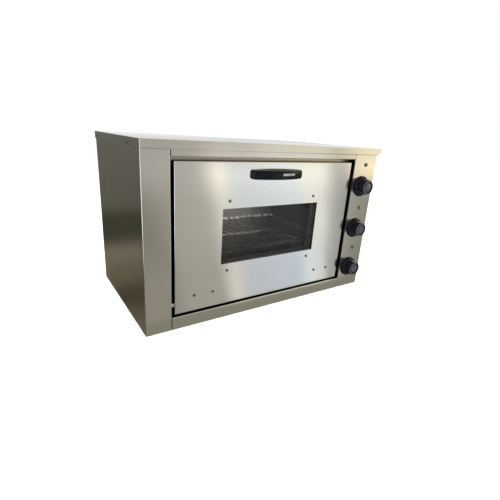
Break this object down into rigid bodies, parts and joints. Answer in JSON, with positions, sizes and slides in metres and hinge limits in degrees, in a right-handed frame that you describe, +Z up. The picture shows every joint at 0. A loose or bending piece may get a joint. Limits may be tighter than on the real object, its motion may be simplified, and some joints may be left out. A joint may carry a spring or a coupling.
{
  "type": "countertop pizza oven",
  "caption": "Countertop pizza oven in brushed stainless steel, with a drop-down windowed door, a black bow handle and a side column of control knobs and pilot lamps.",
  "frame": {"origin": "middle of the casing's footprint on the counter, on the underside of the base", "axes": "+X to the right as seen from the front, +Y from the front to the back, +Z up"},
  "size_m": [0.8156, 0.4795, 0.4871],
  "materials": {
    "casing_steel": "brushed stainless sheet, satin, warm grey",
    "plain_sheet": "plain rolled stainless sheet, dull",
    "door_steel": "brushed stainless sheet, bright satin, vertical grain",
    "chamber_steel": "aluminised steel, dulled and browned by heat",
    "zinc_steel": "zinc-plated pressed steel",
    "screw_steel": "bright machined steel",
    "bright_wire": "plated wire, slightly browned",
    "element_tube": "oxidised heating tube, dark grey",
    "window_glass": "clear heat-resistant glass",
    "seal_rubber": "black silicone rubber",
    "black_gloss": "glossy black moulded plastic",
    "black_moulding": "black moulded plastic, matt",
    "lamp_green": "clear green lens",
    "glass_wool": "glass wool blanket"
  },
  "bodies": {
    "root": {"lid": "casing_steel", "lid_screws": "screw_steel", "left_post": "casing_steel", "control_fascia": "casing_steel", "header_rail": "casing_steel", "left_side_panel": "casing_steel", "right_side_panel": "casing_steel", "back_panel": "plain_sheet", "back_screws": "screw_steel", "base_panel": "plain_sheet", "cable_gland": "black_moulding", "gland_nut": "black_moulding", "chamber_shell": "chamber_steel", "chamber_back": "chamber_steel", "chamber_front_frame": "chamber_steel", "lower_baffle": "plain_sheet", "door_seal": "seal_rubber", "insulation_wrap": "glass_wool", "insulation_back": "glass_wool", "chamber_supports": "plain_sheet", "heat_shield": "plain_sheet", "upper_element": "element_tube", "lower_element": "element_tube", "upper_element_hangers": "zinc_steel", "lower_element_rests": "zinc_steel", "element_flanges": "zinc_steel", "wire_rack": "bright_wire", "rack_runners": "chamber_steel", "hinge_pins": "screw_steel", "hinge_spacers": "screw_steel", "upper_thermostat": "black_moulding", "lower_thermostat": "black_moulding", "timer": "black_moulding", "lamp_bodies": "black_moulding", "terminal_block": "black_moulding", "wiring_loom": "black_moulding", "lamp_lenses": "lamp_green"},
    "door": {"door_skin": "door_steel", "door_inner_panel": "chamber_steel", "door_insulation": "glass_wool", "window_glass": "window_glass", "inner_glass": "window_glass", "window_gasket": "seal_rubber", "window_reveal": "chamber_steel", "upper_glass_clamp": "zinc_steel", "lower_glass_clamp": "zinc_steel", "window_screws": "screw_steel", "left_hinge_bracket": "zinc_steel", "right_hinge_bracket": "zinc_steel", "hinge_screws": "screw_steel", "handle": "black_gloss", "handle_screws": "screw_steel"},
    "upper_control": {"upper_knob": "black_gloss", "upper_spindle": "screw_steel"},
    "middle_control": {"middle_knob": "black_gloss", "middle_spindle": "screw_steel"},
    "lower_control": {"lower_knob": "black_gloss", "lower_spindle": "screw_steel"}
  },
  "joints": [
    {"name": "door_hinge", "type": "hinge", "parent": "root", "child": "door", "pos_m": [-0.01655, -0.2, 0.0665], "axis": [1, 0, 0], "range_deg": [0, 90]},
    {"name": "upper_knob_turn", "type": "hinge", "parent": "root", "child": "upper_control", "pos_m": [0.34095, -0.218, 0.3641], "axis": [0, 1, 0], "range_deg": [0, 270]},
    {"name": "middle_knob_turn", "type": "hinge", "parent": "root", "child": "middle_control", "pos_m": [0.34095, -0.218, 0.2201], "axis": [0, 1, 0], "range_deg": [0, 270]},
    {"name": "lower_knob_turn", "type": "hinge", "parent": "root", "child": "lower_control", "pos_m": [0.34095, -0.218, 0.0761], "axis": [0, 1, 0], "range_deg": [0, 300]}
  ]
}
